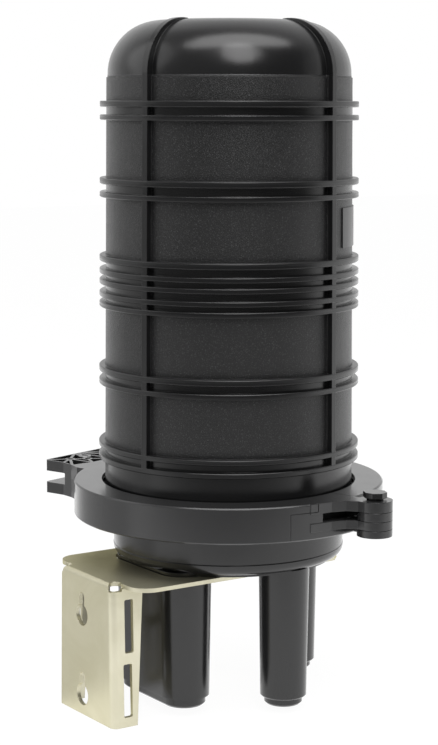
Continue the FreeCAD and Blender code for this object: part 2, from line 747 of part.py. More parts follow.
def make_hinge_pin():
    high = s("clamp_height")
    radius = s("pin_radius")
    pin = -(s("clamp_radius") + s("pin_stand"))
    body = turned_pin("hinge_pin", pin, dim(0), [
        (0, 0), (radius - 0.8, 0), (radius, 0.8), (radius, high + 0.1), (radius + 2, high + 0.1),
        (radius + 2, high + 1.8), (radius + 2.5, high + 1.8), (radius + 2.5, high + 2), (0, high + 2)][::-1])
    head = sketch_on(body, "head_outline", "XY_Plane", high + 1.8)
    add_loop(head, [(pin + 8.2, -3), (pin + 8.2, 3), (pin + 3, 7.6), (pin - 3, 7.6), (pin - 8.2, 3),
                    (pin - 8.2, -3), (pin - 3, -7.6), (pin + 3, -7.6)])
    pad(body, "head", head, 3.9)
    tab = sketch_on(body, "head_tab_outline", "XY_Plane", high + 1.8)
    add_loop(tab, [(pin - 3, -10.2), (pin + 2.4, -10.2), (pin + 2.4, -5), (pin - 3, -5)])
    pad(body, "head_tab", tab, 2.6)
    return body


def make_latch_pins():
    high = s("clamp_height")
    radius = s("latch_pin_radius")
    reach = s("clamp_radius") + s("latch_stand")
    corners = [(0, 0.3), (radius, 0.3), (radius, high - 0.3), (0, high - 0.3)][::-1]
    turned_pin("latch_pivot_pin", reach, s("pivot_side"), corners)
    turned_pin("latch_catch_pin", reach, -s("catch_side"), corners)


def make_latch_lever():
    body = new_body("latch_lever")
    plate = s("lug_plate")
    reach = s("clamp_radius") + s("latch_stand")
    pivot = s("pivot_side")
    catch = -s("catch_side")
    radius = s("latch_pin_radius")
    sketch = sketch_on(body, "lever_outline", "XY_Plane", plate + 0.4)
    back = reach + radius + 0.5
    nose = reach + radius - 1.3
    add_loop(sketch, [
        (reach, pivot + radius + 3.6), (reach - 6.1, pivot), (reach - 4, pivot - 6), (back, pivot - 13),
        (back, catch - radius - 1.6), (nose + 0.4, catch - radius - 2), (nose, catch - radius - 2.4),
        (nose, catch - radius - 8), (nose + 2, catch - radius - 12), (nose + 5, catch - radius - 32),
        (nose + 8, catch - radius - 33), (nose + 11.5, catch - radius - 30), (back + 8, catch - radius - 6),
        (back + 8, pivot - 14), (reach + 6.1, pivot), (reach + 4.3, pivot + 4.3)][::-1])
    pad(body, "lever_bar", sketch, s("clamp_height") - plate * 2 - 0.8)
    hole = sketch_on(body, "lever_hole_outline", "XY_Plane", s("clamp_height"))
    add_circle(hole, reach, pivot, radius + s("pin_play"))
    pocket(body, "lever_hole", hole, s("clamp_height"))
    on_axis(body, s("rib_turn"))
    return body


# Mounting bracket: one folded sheet with a top plate, a wall plate and two side flanges

def soft_box(left, right, low, top, radius):
    """The outline of a box with round corners."""
    return [(left + radius, low), (right - radius, low, radius, -1), (right, low + radius),
            (right, top - radius, radius, -1), (right - radius, top), (left + radius, top, radius, -1),
            (left, top - radius), (left, low + radius, radius, -1)]


def make_bracket():
    body = new_body("mounting_bracket")
    thick = s("sheet")
    under = -s("base_depth") - thick
    wall = s("wall_to_axis")
    outer = s("bend_radius") + thick
    fold = s("fold_radius") + thick
    wide = s("plate_half")
    end = -s("plate_end")
    narrow = s("wall_half")
    outline = sketch_on(body, "top_plate_outline", "XY_Plane", under)
    near = wall - 8
    flat = wall - fold
    mid = s("oval_side")
    tail = wide - s("plate_narrow")
    add_loop(outline, [
        (mid + wide - 15, near, 15.0, 1), (mid + wide, near - 15), (mid + wide, 20), (mid + tail, end + 8),
        (mid + tail - 8, end), (mid + 8 - tail, end), (mid - tail, end + 8), (mid - wide, 20),
        (mid - wide, near - 15, 15.0, 1), (mid + 15 - wide, near),
        (-narrow - 2, near), (-narrow - 2, flat), (narrow + 2, flat), (narrow + 2, near)])
    pad(body, "top_plate", outline, thick)
    half = narrow - outer
    bend = sketch_on(body, "wall_bend_profile", "YZ_Plane", -half)
    top = under + thick
    foot = -s("base_depth") - 12
    add_loop(bend, [
        (flat - 8, top), (flat - 8, under), (flat, under, s("fold_radius"), 1),
        (wall - thick, top - fold), (wall - thick, foot), (wall, foot), (wall, top - fold, fold, -1),
        (flat, top)])
    pad(body, "wall_bend", bend, half * 2)
    head = under - 1.2
    plate = sketch_on(body, "wall_plate_outline", "XZ_Plane", -wall)
    add_loop(plate, [(half, head), (-half, head), (-half - s("wall_splay"), -s("drop")),
                     (half + s("wall_splay"), -s("drop"))])
    pad(body, "wall_plate", plate, thick)
    section = sketch_on(body, "side_flange_section", "XY_Plane", head)
    back = wall - s("side_depth")
    add_loop(section, [
        (narrow, back), (narrow, wall - outer, outer, -1), (half, wall), (half, wall - thick, s("bend_radius"), 1),
        (narrow - thick, wall - outer), (narrow - thick, back)])
    flange = pad(body, "side_flange", section, s("drop") + head, backward=True)
    flange.UseCustomVector = True
    flange.AlongSketchNormal = True
    flange.Direction = Vector(-numbers["wall_splay"], 0, numbers["drop"] + head.value)
    flange.setExpression(".Direction.x", (-s("wall_splay")).text)
    flange.setExpression(".Direction.z", (s("drop") + head).text)
    mirror(body, "other_side_flange", flange, "YZ_Plane")
    taper = sketch_on(body, "side_flange_taper", "YZ_Plane", narrow + 20)
    add_loop(taper, [(back - 1, head), (back, head), (back + s("side_taper"), -s("drop") - 1),
                     (back - 1, -s("drop") - 1)])
    pocket(body, "side_flange_edge", taper, (narrow + 20) * 2)
    relief = sketch_on(body, "corner_relief_outline", "XY_Plane", top)
    for side in (1, -1):
        add_circle(relief, (narrow - 2) * side, wall - 4.5, s("relief_radius"))
    pocket(body, "corner_reliefs", relief, thick * 2)
    column = s("keyhole_side")
    for index in range(2):
        high = -s("keyhole_top") - s("keyhole_pitch") * index
        circle = sketch_on(body, "keyhole_circle_%d" % (index + 1), "XZ_Plane", -wall - 5)
        add_circle(circle, column, high, s("keyhole_radius"))
        pocket(body, "keyhole_round_%d" % (index + 1), circle, 12, backward=True)
        neck = sketch_on(body, "keyhole_neck_%d" % (index + 1), "XZ_Plane", -wall - 5)
        add_slot(neck, high, high + s("keyhole_radius") + 5, column, s("keyhole_neck"), upright=True)
        pocket(body, "keyhole_slot_%d" % (index + 1), neck, 12, backward=True)
    straps = sketch_on(body, "strap_slot_outline", "YZ_Plane", narrow + 20)
    for low, lift, shift in ((-83.0, 38.5, 0.0), (-129.5, 38.5, 1.6)):
        y = wall - 10.7 + shift
        add_loop(straps, soft_box(y - 7, y, dim(low), dim(low) + lift, 1.2))
    pocket(body, "strap_slots", straps, (narrow + 20) * 2)
    cuts = sketch_on(body, "port_cutouts", "XY_Plane", top)
    stadium(cuts, s("oval_half"), s("oval_offset"), s("oval_radius") + 1.2)
    pocket(body, "oval_cutout", cuts, thick)
    for index in range(3):
        angle = s("port_start") + s("port_turn") * index
        circle = sketch_on(body, "round_cutout_%d" % (index + 1), "XY_Plane", top)
        add_circle(circle, s("port_circle") * cosine(angle), s("port_circle") * sine(angle),
                   s("port_radius") + 1.2)
        pocket(body, "round_cut_%d" % (index + 1), circle, thick)
    holes = sketch_on(body, "screw_clearance", "XY_Plane", top)
    for x, y in post_places():
        add_circle(holes, x, y, s("screw_radius") + 0.4)
    pocket(body, "screw_holes", holes, thick)
    on_axis(body)
    return body


# Fasteners and washers

def rod(x, y, z, radius, height):
    piece = doc.addObject("Part::Cylinder", "rod")
    bind(piece, "Radius", radius)
    bind(piece, "Height", height)
    values = [dim(x), dim(y), dim(z)]
    piece.Placement = FreeCAD.Placement(Vector(*[v.value for v in values]), FreeCAD.Rotation())
    for name, value in zip("xyz", values):
        if "Sizes." in value.text:
            piece.setExpression(".Placement.Base." + name, value.text)
    piece.Visibility = False
    return piece


def joined(parts):
    piece = doc.addObject("Part::MultiFuse", "joined")
    piece.Shapes = parts
    piece.Visibility = False
    return piece


def less(base, tool):
    piece = doc.addObject("Part::Cut", "less")
    piece.Base = base
    piece.Tool = tool
    piece.Visibility = False
    return piece


def group(label, parts):
    """Several loose pieces of one kind under one name."""
    piece = doc.addObject("Part::Compound", label)
    piece.Label = label
    piece.Links = parts
    on_axis(piece)
    return piece


def make_fasteners():
    thick = s("sheet")
    under = -s("base_depth") - thick
    radius = s("screw_radius")
    screws = []
    washers = []
    small = []
    for x, y in post_places():
        shank = rod(x, y, under - 1.2, radius, 16)
        head = rod(x, y, under - 1.2 - 3.6, radius + 2, 3.6)
        recess = rod(x, y, under - 1.2 - 3.7, radius - 0.6, 2.4)
        screws.append(less(joined([shank, head]), recess))
        washers.append(less(rod(x, y, under - 1.2, radius + 3.2, 1.2), rod(x, y, under - 1.3, radius + 0.1, 1.4)))
        seat = s("post_top") + s("frame_sheet")
        thin = s("small_screw_radius")
        shaft = rod(x, y, seat - 12, thin, 12)
        cap = rod(x, y, seat, thin + 2, 2.4)
        cross = rod(x, y, seat + 1.2, thin - 0.7, 1.3)
        small.append(less(joined([shaft, cap]), cross))
    group("bracket_screws", screws)
    group("bracket_washers", washers)
    group("frame_screws", small)


# Tray frame: one folded sheet that stands on the screw posts

def make_tray_frame():
    body = new_body("tray_frame")
    thick = s("frame_sheet")
    seat = s("post_top")
    back = s("tray_back") + 2 + thick
    shelf = sketch_on(body, "frame_profile", "YZ_Plane", -50)
    front = -s("post_front") - 9
    tall = s("tray_foot") + s("tray_length") - 14
    add_loop(shelf, [(front, seat), (back - 4, seat, 4.0, 1), (back, seat + 4), (back, tall),
                     (back - thick, tall), (back - thick, seat + 4, 4 - thick, -1), (back - 4, seat + thick),
                     (front, seat + thick)])
    pad(body, "folded_sheet", shelf, 100)
    holes = sketch_on(body, "frame_holes", "XY_Plane", seat + thick)
    for x, y in post_places():
        add_circle(holes, x, y, s("small_screw_radius") + 0.3)
    pocket(body, "screw_holes", holes, thick)
    window = sketch_on(body, "window_outline", "XZ_Plane", -back - 2)
    add_loop(window, [(-30, 70), (30, 70), (30, 200), (-30, 200)])
    pocket(body, "window", window, thick + 6, backward=True)
    side = s("ear_side")
    low = s("tray_foot")
    y = s("tray_back")
    for index, x in enumerate((side, -side - 3)):
        ear = sketch_on(body, "ear_outline_%d" % index, "YZ_Plane", x)
        add_loop(ear, [(back - 0.5, low - 1), (y - 7, low - 1), (y - 7, low - 9), (y - 4, low - 12),
                       (back - 0.5, low - 12)])
        pad(body, "ear_%d" % index, ear, 3)
    bore = sketch_on(body, "ear_bore_outline", "YZ_Plane", -60)
    add_circle(bore, y - 3, low - 6, s("stub_radius") + s("pin_play"))
    pocket(body, "ear_bore", bore, 120, backward=True)
    on_axis(body)
    return body


# Splice trays: each one hinges on the ears of the piece behind it

def make_tray(index, last):
    label = "splice_tray_%d" % (index + 1)
    body = new_body(label)
    y = s("tray_back") - s("tray_pitch") * index
    low = s("tray_foot")
    high = low + s("tray_length")
    half = s("tray_width") / 2
    depth = s("tray_depth")
    wall = s("tray_wall")
    outline = sketch_on(body, "tray_outline", "XZ_Plane", -y)
    add_loop(outline, [(-half + 3, low), (half - 3, low), (half, low + 3), (half, high - 30),
                       (half - 22, high), (22 - half, high), (-half, high - 30), (-half, low + 3)])
    pad(body, "tray_block", outline, depth)
    room = sketch_on(body, "tray_room_outline", "XZ_Plane", depth - y)
    add_loop(room, [(wall - half + 3, low + wall), (half - 3 - wall, low + wall), (half - wall, low + 3 + wall),
                    (half - wall, high - 30.6), (half - 22.6, high - wall), (22.6 - half, high - wall),
                    (wall - half, high - 30.6), (wall - half, low + 3 + wall)])
    pocket(body, "tray_room", room, depth - wall)
    hubs = sketch_on(body, "winding_hub_outline", "XZ_Plane", wall - y)
    for z in (low + 58, high - 58):
        add_circle(hubs, 0, z, 24)
        add_circle(hubs, 0, z, 22)
    pad(body, "winding_hubs", hubs, depth - wall - 2)
    gates = sketch_on(body, "gate_outline", "XZ_Plane", depth - y)
    for x in (34, -34):
        add_loop(gates, [(x - 8, low - 2), (x + 8, low - 2), (x + 8, low + 4), (x - 8, low + 4)])
    pocket(body, "gates", gates, depth - wall - 1)
    side = s("ear_side")
    barrel = sketch_on(body, "barrel_outline", "YZ_Plane", 0.3 - side)
    add_loop(barrel, [(y - 7, low + 1), (y - 7, low - 6, 4.0, -1), (y + 1, low - 6), (y, low + 1)])
    for place, start in (("left", -side + 0.3), ("right", side - 6.3)):
        sketch = barrel if place == "left" else sketch_on(body, "barrel_outline_right", "YZ_Plane", start)
        if place == "right":
            add_loop(sketch, [(y - 7, low + 1), (y - 7, low - 6, 4.0, -1), (y + 1, low - 6), (y, low + 1)])
        pad(body, "barrel_" + place, sketch, 6)
    for place, start in (("left", -side - 3.6), ("right", side - 1)):
        stub = sketch_on(body, "stub_outline_" + place, "YZ_Plane", start)
        add_circle(stub, y - 3, low - 6, s("stub_radius"))
        pad(body, "stub_" + place, stub, 4.6)
    if not last:
        front = y - 8
        reach = s("tray_pitch") - 1
        for place, x in (("left", -side - 3), ("right", side)):
            ear = sketch_on(body, "ear_outline_" + place, "YZ_Plane", x)
            add_loop(ear, [(front, low + 1), (y - depth + 0.3, low + 1), (y - depth + 0.3, low - 1),
                           (front - reach, low - 1), (front - reach, low - 9), (front - reach + 3, low - 12),
                           (front - 3, low - 12), (front, low - 9)])
            pad(body, "ear_" + place, ear, 3)
        bore = sketch_on(body, "ear_bore_outline", "YZ_Plane", -60)
        add_circle(bore, y - s("tray_pitch") - 3, low - 6, s("stub_radius") + s("pin_play"))
        pocket(body, "ear_bore", bore, 120, backward=True)
    on_axis(body)
    return body


def make_holder(index):
    body = new_body("splice_holder_%d" % (index + 1))
    y = s("tray_back") - s("tray_pitch") * index - s("tray_wall")
    low = s("tray_foot") + s("tray_length") / 2 - 15
    comb = sketch_on(body, "comb_profile", "XY_Plane", low)
    walk = [(-27, y), (27, y), (27, y - 6)]
    for tooth in range(12):
        x = 24.6 - tooth * 4.4
        walk += [(x, y - 6), (x, y - 2), (x - 2.6, y - 2), (x - 2.6, y - 6)]
    walk += [(-27, y - 6)]
    add_loop(comb, walk[::-1])
    pad(body, "comb", comb, 30)
    on_axis(body)
    return body


def make_cover():
    body = new_body("tray_cover")
    y = s("tray_back") - s("tray_pitch") * 3 - s("tray_depth")
    low = s("tray_foot")
    high = low + s("tray_length")
    half = s("tray_width") / 2
    sheet_outline = sketch_on(body, "cover_outline", "XZ_Plane", -y)
    add_loop(sheet_outline, [(-half + 3, low), (half - 3, low), (half, low + 3), (half, high - 30),
                             (half - 22, high), (22 - half, high), (-half, high - 30), (-half, low + 3)])
    pad(body, "cover_sheet", sheet_outline, 1.5)
    grip = sketch_on(body, "grip_outline", "XZ_Plane", 1.5 - y)
    add_loop(grip, [(-12, high - 8), (12, high - 8), (12, high - 5), (-12, high - 5)])
    pad(body, "grip", grip, 2)
    on_axis(body)
    return body


make_dome()
make_base()
make_seal()
make_clamp("clamp_front", 1)
make_clamp("clamp_rear", -1)
make_hinge_pin()
make_latch_pins()
make_latch_lever()
make_bracket()
make_fasteners()
make_tray_frame()
for number in range(4):
    make_tray(number, number == 3)
    make_holder(number)
make_cover()
doc.recompute()

NODES = ["dome", "base", "seal_ring", "clamp_front", "clamp_rear", "hinge_pin", "latch_lever",
         "latch_pivot_pin", "latch_catch_pin", "mounting_bracket", "bracket_screws", "bracket_washers",
         "tray_frame", "frame_screws", "splice_tray_1", "splice_tray_2", "splice_tray_3", "splice_tray_4",
         "splice_holder_1", "splice_holder_2", "splice_holder_3", "splice_holder_4", "tray_cover"]

failed = [thing.Name for thing in doc.Objects if {"Invalid", "Error"} & set(thing.State)]
if failed:
    raise RuntimeError("these objects failed: %s" % ", ".join(failed))
for name in NODES:
    shape = doc.getObject(name).Shape
    if shape.isNull() or not shape.isValid():
        raise RuntimeError("the shape of %s is empty or not valid" % name)

os.makedirs("parts", exist_ok=True)
for name in NODES:
    shape = doc.getObject(name).Shape
    print(name, len(shape.Solids), round(shape.Volume / 1000, 2), shape.BoundBox)
    shape.exportStep("parts/%s.step" % name)
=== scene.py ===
import math

import bpy
from bpy.props import FloatProperty, FloatVectorProperty, PointerProperty
from bpy.types import Operator, Panel, PropertyGroup
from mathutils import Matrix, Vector


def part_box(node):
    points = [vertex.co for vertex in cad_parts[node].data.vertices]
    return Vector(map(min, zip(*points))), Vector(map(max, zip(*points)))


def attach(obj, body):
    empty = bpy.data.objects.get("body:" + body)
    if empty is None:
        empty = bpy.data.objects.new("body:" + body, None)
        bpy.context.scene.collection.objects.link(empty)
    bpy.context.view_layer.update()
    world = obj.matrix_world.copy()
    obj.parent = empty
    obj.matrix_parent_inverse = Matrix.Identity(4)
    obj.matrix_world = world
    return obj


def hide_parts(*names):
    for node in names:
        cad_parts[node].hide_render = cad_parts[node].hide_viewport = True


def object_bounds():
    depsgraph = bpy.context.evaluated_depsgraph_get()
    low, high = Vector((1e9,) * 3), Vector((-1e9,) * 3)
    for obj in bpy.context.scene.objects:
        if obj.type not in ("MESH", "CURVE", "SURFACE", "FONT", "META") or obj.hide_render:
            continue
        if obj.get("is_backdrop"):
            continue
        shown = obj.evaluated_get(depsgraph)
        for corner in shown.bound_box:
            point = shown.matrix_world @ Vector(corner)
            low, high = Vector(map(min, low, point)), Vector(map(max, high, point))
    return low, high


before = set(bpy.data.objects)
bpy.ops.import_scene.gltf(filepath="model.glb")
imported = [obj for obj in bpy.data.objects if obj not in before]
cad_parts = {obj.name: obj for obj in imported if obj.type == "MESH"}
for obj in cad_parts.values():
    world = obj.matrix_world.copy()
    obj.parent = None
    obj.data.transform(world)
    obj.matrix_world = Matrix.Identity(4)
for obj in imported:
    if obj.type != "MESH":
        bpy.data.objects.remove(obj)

bl_info = {
    "name": "Dome splice closure",
    "version": (1, 0, 0),
    "blender": (4, 5, 0),
    "location": "View3D > Sidebar > Closure",
    "description": "Dresses the packed dome splice closure and sets its studio",
    "category": "Object",
}

CAD_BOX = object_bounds()
DOME_LOW, DOME_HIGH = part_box("dome")
AXIS = (DOME_LOW + DOME_HIGH) / 2

TRAYS = range(1, 5)

# Roughness of each finish, in its glossy and in its dull spots

WALL_ROUGH = (0.36, 0.45)
CROWN_ROUGH = (0.22, 0.28)
RIB_ROUGH = (0.28, 0.36)
BASE_ROUGH = (0.17, 0.26)
SEAL_ROUGH = (0.55, 0.7)
CLAMP_ROUGH = (0.15, 0.24)
HINGE_PIN_ROUGH = (0.10, 0.18)
LATCH_PIN_ROUGH = (0.28, 0.42)
BRACKET_ROUGH = (0.30, 0.40)
SCREW_ROUGH = (0.25, 0.4)
FRAME_ROUGH = (0.3, 0.45)
TRAY_ROUGH = (0.4, 0.52)
HOLDER_ROUGH = (0.6, 0.75)
COVER_ROUGH = (0.08, 0.2)

# Dome finish, in metres. A smooth band has its middle above the clamp underside and its half height

STEP_BLEND = 0.0002             # half the height over which the wall turns into the polished crown
RIB_POLISH = (0.0006, 0.0014)   # beyond the wall radius, where the polish of a rib starts and is full
SMOOTH_BANDS = ((0.0222, 0.0222), (0.0489, 0.0047), (0.1046, 0.0048), (0.1735, 0.0168),
                (0.2412, 0.0049), (0.2964, 0.0048))

# Textures

PIT_SHARE = 0.6                 # weight of the pits against the fine noise in the spark texture
# The flecks are painted glints: bright specks in the dome colour that stand in for the glints of light
# on its spark texture
GLINT_GRAIN = 0.8               # grain of the flecks against that of the pits
GLINT_EDGE = (0.56, 0.72)       # noise at which a fleck starts and is full
GLOSS_DETAIL = 7.0              # how much finer the changes of gloss are than those of tone
CLOUD_EDGE = (0.32, 0.68)       # noise at which a cloud starts and is full
ROLLING = (1.0, 1.0, 0.06)      # stretches the rolling lines along Z
ROLLING_GRAIN = 700.0
PEEL_GRAIN = 420.0              # fine unevenness of the zinc
SPOT_GAIN = 1.25                # light spots of satin plastic against its colour
SPOT_LIFT = 0.002               # and what is added to them
STEEL_SHADE = 0.8               # dark clouds of plated steel against its colour

# Screws. Shares are of the head's radius or height, the thread's depth or the shank's radius

HEAD_OVERHANG = 0.002           # head radius beyond the thread, in metres
HEAD_ROUNDING = 0.28            # share of the head height
SOCKET_RIM = 0.30               # from the edge of the head to the socket, share of the head radius
SOCKET_CHAMFER = 0.12           # share of the head radius
SOCKET_TAPER = 0.92             # size that the face at the socket is drawn in to
SOCKET_DEPTH = 0.55             # share of the head height
SHANK_INSIDE = 0.6              # shank inside the thread radius, share of the thread depth
TIP_SIZE = 0.8                  # share of the shank radius
THREAD_PROFILE = 0.62           # radius of the three-cornered profile, share of the thread depth
THREAD_SUNK = 0.3               # profile inside the thread radius, share of the thread depth
THREAD_STEPS = 20               # steps in one turn
THREAD_MARGIN = (1.0, 1.5)      # turns left free at the lower and at the upper end of the shank
SMALL_THREAD = 0.8              # thread of the frame screws against that of the bracket screws
FACING = 0.9                    # how far a face looks along the screw where it counts as an end

# Studio, in metres unless a line says something else

WHITE = (1, 1, 1, 1)
FLOOR_SIZE = 12.0
FLOOR_TONE = 0.9                # colour and roughness of the matt floor
FLOOR_GLOW = 1.06               # brightness of the floor for the camera
FLOOR_GLOW_SHARE = 0.9          # share of the glow in the floor, the rest takes the shadows
FLOOR_NEAR_GLOSS = 1.5          # brightness of the near floor for glossy parts
FLOOR_DIMS = (0.42, 0.85)       # in front of the closure axis, where it starts to dim and is dim
FLOOR_DARK = 0.42               # share of its light that the floor loses on the dark side
WORLD_DARK = 0.28               # share of its light that the world loses on the dark side
DARK_START = (1.15, 1.35)       # turn to the left of the camera where the dark side starts, in radians
DARK_END = (2.2, 2.5)           # turn where it ends, in radians
RIGHT_BLEND = (-0.7, 0.5)       # how far to the right the front gloss turns into the right gloss
BACK_BLEND = (-0.15, 0.45)      # how far to the back the front turns into the white back
AIM_LEVEL = 0.6                 # the lamps face this share of the closure's height
SENSOR_WIDTH = 36.0             # millimetres
VIEW_REACH = 50.0


# Sizes, colours and studio settings

def length(name, description, default):
    return FloatProperty(name=name, description=description, default=default,
                         subtype="DISTANCE", precision=5)


def number(name, description, default):
    return FloatProperty(name=name, description=description, default=default)


def tint(name, description, default):
    return FloatVectorProperty(name=name, description=description, default=default, subtype="COLOR",
                               size=3, min=0.0, max=1.0)


class ClosureSizes(PropertyGroup):
    crown_step: length("Crown step", "Height of the crown above the moulding step", 0.0402)
    flange_height: length("Flange height", "Dome foot above the clamp underside", 0.0128)
    dome_wall_radius: length("Dome wall radius", "Radius at the crown step that ribs are measured from",
                             0.0888)
    dome_draft: number("Dome draft", "Growth of the dome wall radius for each metre down", 0.0086)
    edge_radius: length("Edge radius", "Rounding of moulded edges", 0.0006)
    sheet_edge: length("Sheet edge", "Rounding of pressed sheet edges", 0.0004)
    screw_radius: length("Bracket screw radius", "Thread radius of the bracket screws", 0.0025)
    small_screw_radius: length("Frame screw radius", "Thread radius of the tray frame screws", 0.002)
    thread_pitch: length("Thread pitch", "Rise of one turn of a screw thread", 0.0009)
    thread_depth: length("Thread depth", "Height of the thread profile", 0.0004)


class ClosureColours(PropertyGroup):
    dome_black: tint("Dome black", "Moulded wall and crown", (0.0065, 0.0065, 0.0068))
    # Painted glint colour: bright specks that stand in for glints of light on the spark texture, not a
    # colour of the plastic itself
    dome_painted_glint: tint("Dome painted glint", "Painted glints on the spark texture", (0.046, 0.046, 0.047))
    base_black: tint("Base black", "Base and ports", (0.011, 0.011, 0.0114))
    clamp_black: tint("Clamp black", "Clamp halves and lever", (0.021, 0.021, 0.0215))
    pin_black: tint("Pin black", "Hinge pin", (0.006, 0.006, 0.0064))
    zinc_cream: tint("Zinc cream", "Passivated zinc, pale parts", (0.65, 0.622, 0.487))
    zinc_olive: tint("Zinc olive", "Passivated zinc, darker bloom", (0.575, 0.547, 0.407))
    zinc_edge: tint("Zinc edge", "Passivated zinc seen at a flat angle", (0.62, 0.58, 0.34))
    steel_grey: tint("Steel grey", "Plated steel", (0.56, 0.56, 0.57))
    tray_grey: tint("Tray grey", "Splice trays", (0.58, 0.59, 0.59))
    holder_grey: tint("Holder grey", "Splice holders", (0.06, 0.06, 0.066))
    seal_black: tint("Seal black", "Seal ring", (0.015, 0.015, 0.015))
    cover_tone: tint("Cover tone", "Clear tray cover", (0.86, 0.89, 0.90))


class StudioSettings(PropertyGroup):
    view_turn: number("View turn", "Turn of the view from +Y towards -X, in degrees", 235.8)
    view_pitch: number("View pitch", "How far the camera looks down, in degrees", 8.047)
    view_roll: number("View roll", "Lean of the camera, in degrees", 0.12)
    camera_distance: length("Camera distance", "Camera to closure axis", 1.3974)
    camera_side: length("Camera side", "Camera to the right of the closure axis", -0.00714)
    camera_height: length("Camera height", "Camera above the origin", 0.3886)
    lens: number("Lens", "Focal length in millimetres", 92.01)
    world_light: number("World light", "Strength of the even light", 0.40)
    front_gloss: number("Front gloss", "Brightness that glossy parts see in front on the left", 0.30)
    right_gloss: number("Right gloss", "Brightness that glossy parts see in front on the right", 0.10)
    floor_gloss: number("Floor gloss", "Brightness of the floor far in front for glossy parts", 0.10)
    key_power: number("Key power", "Power of the overhead softbox in watts", 15.0)
    key_width: length("Key width", "Width of the overhead softbox", 2.0)
    floor_gap: length("Floor gap", "Floor below the lowest point", 0.0005)


# Shader helpers. A value that comes from a node is passed on as a (node, output) pair

def feed(tree, node, socket, value):
    """Link a socket to a (node, output) pair, or set it to a plain value."""
    if isinstance(value, tuple) and isinstance(value[0], bpy.types.Node):
        tree.links.new(value[0].outputs[value[1]], node.inputs[socket])
    else:
        node.inputs[socket].default_value = value


def add(tree, kind, inputs=None, **settings):
    """A shader node with its settings, and with its sockets fed."""
    made = tree.nodes.new(kind)
    for name, value in settings.items():
        setattr(made, name, value)
    for socket, value in (inputs or {}).items():
        feed(tree, made, socket, value)
    return made


def math_node(tree, operation, *values, clamp=False):
    """What a Math node gives for its values."""
    made = add(tree, "ShaderNodeMath", dict(enumerate(values)), operation=operation, use_clamp=clamp)
    return made, 0


def noise(tree, place, scale, **shape):
    """What a Noise texture gives at a place."""
    return add(tree, "ShaderNodeTexNoise", {"Vector": place, "Scale": scale, **shape}), 0


def ramp(tree, value, band, ends=(0.0, 1.0)):
    """Runs from one end to the other while the value runs through the band."""
    made = add(tree, "ShaderNodeMapRange", {"Value": value, "From Min": band[0], "From Max": band[1],
                                            "To Min": ends[0], "To Max": ends[1]})
    return made, "Result"


def reach_along(tree, vector, direction):
    """How far a vector runs along a direction."""
    made = add(tree, "ShaderNodeVectorMath", {0: vector, 1: direction}, operation="DOT_PRODUCT")
    return made, "Value"


def blend(tree, mask, first, second, kind="FLOAT"):
    """The first where the mask is 0 and the second where it is 1."""
    made = add(tree, "ShaderNodeMix", {"Factor": mask, "A": first, "B": second}, data_type=kind)
    return made, "Result"


def blend_colours(tree, mask, first, second):
    return blend(tree, mask, (*first, 1.0), (*second, 1.0), "RGBA")


def new_group(name, inputs, outputs):
    """An empty shader node group with named sockets, and its two end nodes."""
    group = bpy.data.node_groups.new(name, "ShaderNodeTree")
    for label, kind, default in inputs:
        socket = group.interface.new_socket(name=label, in_out="INPUT", socket_type=kind)
        if default is not None:
            socket.default_value = default
    for label, kind in outputs:
        group.interface.new_socket(name=label, in_out="OUTPUT", socket_type=kind)
    return group, group.nodes.new("NodeGroupInput"), group.nodes.new("NodeGroupOutput")


def use_group(tree, name, **inputs):
    """A shared effect placed in a material with its own values."""
    made = tree.nodes.new("ShaderNodeGroup")
    made.node_tree = bpy.data.node_groups[name]
    for label, value in inputs.items():
        feed(tree, made, label.replace("_", " "), value)
    return made


# Shared effects

def spark_texture():
    """Grain of a spark eroded mould: fine pits, and a mask of a few bright flecks where painted glints
    go.
    """
    group, start, end = new_group(
        "Spark texture",
        [("Vector", "NodeSocketVector", None), ("Grain", "NodeSocketFloat", 900.0),
         ("Fleck amount", "NodeSocketFloat", 0.5)],
        [("Height", "NodeSocketFloat"), ("Fleck", "NodeSocketFloat")])
    place, grain = (start, "Vector"), (start, "Grain")
    fine = noise(group, place, grain, Detail=3.0, Roughness=0.65)
    cells = add(group, "ShaderNodeTexVoronoi", {"Vector": place, "Scale": grain}, feature="SMOOTH_F1")
    pits = math_node(group, "MULTIPLY_ADD", (cells, "Distance"), PIT_SHARE, fine)
    feed(group, end, "Height", pits)
    # The fleck mask marks painted glints: specks that the dome paints bright in place of glints of
    # light
    spots = noise(group, place, math_node(group, "MULTIPLY", grain, GLINT_GRAIN), Detail=1.0)
    sharp = ramp(group, spots, GLINT_EDGE)
    feed(group, end, "Fleck", math_node(group, "MULTIPLY", sharp, (start, "Fleck amount"), clamp=True))


def moulding_tone():
    """Slow changes of tone and gloss that a moulding keeps from its filling."""
    group, start, end = new_group(
        "Moulding tone",
        [("Vector", "NodeSocketVector", None), ("Size", "NodeSocketFloat", 14.0)],
        [("Tone", "NodeSocketFloat"), ("Gloss", "NodeSocketFloat")])
    place, size = (start, "Vector"), (start, "Size")
    feed(group, end, "Tone", noise(group, place, size, Detail=2.0, Roughness=0.5, Distortion=0.4))
    finer = math_node(group, "MULTIPLY", size, GLOSS_DETAIL)
    feed(group, end, "Gloss", noise(group, place, finer, Detail=4.0, Roughness=0.6))


def zinc_bloom():
    """Cloudy passivate over fine rolling lines of steel sheet."""
    group, start, end = new_group(
        "Zinc bloom",
        [("Vector", "NodeSocketVector", None), ("Cloud", "NodeSocketFloat", 22.0)],
        [("Cloud", "NodeSocketFloat"), ("Height", "NodeSocketFloat")])
    place = (start, "Vector")
    clouds = noise(group, place, (start, "Cloud"), Detail=5.0, Roughness=0.62, Distortion=0.8)
    feed(group, end, "Cloud", ramp(group, clouds, CLOUD_EDGE))
    lined = add(group, "ShaderNodeVectorMath", {0: place, 1: ROLLING}, operation="MULTIPLY")
    lines = noise(group, (lined, 0), ROLLING_GRAIN, Detail=3.0)
    peel = noise(group, place, PEEL_GRAIN, Detail=2.0)
    feed(group, end, "Height", math_node(group, "ADD", lines, peel))


